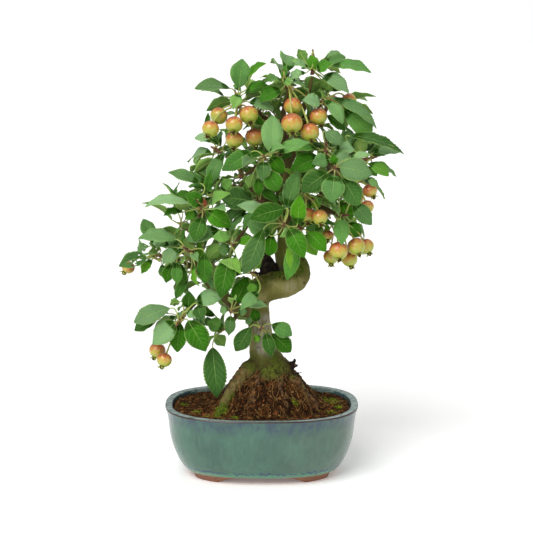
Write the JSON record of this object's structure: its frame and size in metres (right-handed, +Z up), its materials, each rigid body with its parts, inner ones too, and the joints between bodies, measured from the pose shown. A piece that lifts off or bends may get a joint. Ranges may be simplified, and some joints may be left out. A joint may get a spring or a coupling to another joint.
{
  "type": "crabapple bonsai",
  "caption": "Miniature crabapple tree with a swept trunk, layered leafy branches and hanging bunches of small fruit, planted in a glazed oval bonsai pot.",
  "frame": {"origin": "on the ground under the middle of the common outline of tree and pot", "axes": "+Z up, -Y towards the front of the pot, +X to the right seen from the front"},
  "size_m": [0.2591, 0.171, 0.3936],
  "materials": {
    "glazed_pot": "celadon and teal glaze over reddish clay, with a bare clay foot",
    "mesh_plastic": "dark moulded mesh",
    "soil": "dark fibrous potting soil with moss",
    "bark": "olive to grey-brown smooth bark",
    "leaf": "satin green leaf, paler below",
    "fruit": "glossy yellow-green skin with an orange-red blush"
  },
  "bodies": {
    "root": {"pot": "glazed_pot", "drain_screen_left": "mesh_plastic", "drain_screen_right": "mesh_plastic", "soil": "soil", "trunk": "bark", "leaves_apex_left": "leaf", "fruit_apex_left": "fruit", "leaves_crown_left": "leaf", "fruit_crown_left": "fruit", "leaves_crown_right": "leaf", "leaves_shoulder_right": "leaf", "fruit_shoulder_right": "fruit", "leaves_elbow_right": "leaf", "leaves_far_right": "leaf", "leaves_front_right": "leaf", "leaves_front_centre": "leaf", "leaves_up_left": "leaf", "leaves_inner_left": "leaf", "leaves_centre_left": "leaf", "leaves_left_high": "leaf", "fruit_left_high": "fruit", "leaves_left_mid": "leaf", "leaves_left_tip": "leaf", "fruit_left_tip": "fruit", "leaves_inner_low": "leaf", "leaves_hollow": "leaf", "leaves_centre": "leaf", "leaves_right_inner": "leaf", "fruit_right_inner": "fruit", "leaves_right_front": "leaf", "leaves_right_low": "leaf", "fruit_right_low": "fruit", "leaves_right_mid": "leaf", "fruit_right_mid": "fruit", "leaves_low_left": "leaf", "fruit_low_left": "fruit", "leaves_under_left": "leaf", "leaves_on_left": "leaf", "leaves_on_trunk": "leaf", "leaves_back_mid": "leaf", "leaves_back_inner": "leaf", "fruit_back_inner": "fruit", "leaves_back_right": "leaf", "leaves_back_left": "leaf", "leaves_back_low": "leaf", "fruit_back_low": "fruit", "leaves_back_low_inner": "leaf", "leaves_back_high": "leaf", "fruit_back_high": "fruit", "leaves_back_high_right": "leaf", "leaves_right_back": "leaf", "leaves_left_back": "leaf"}
  },
  "joints": []
}
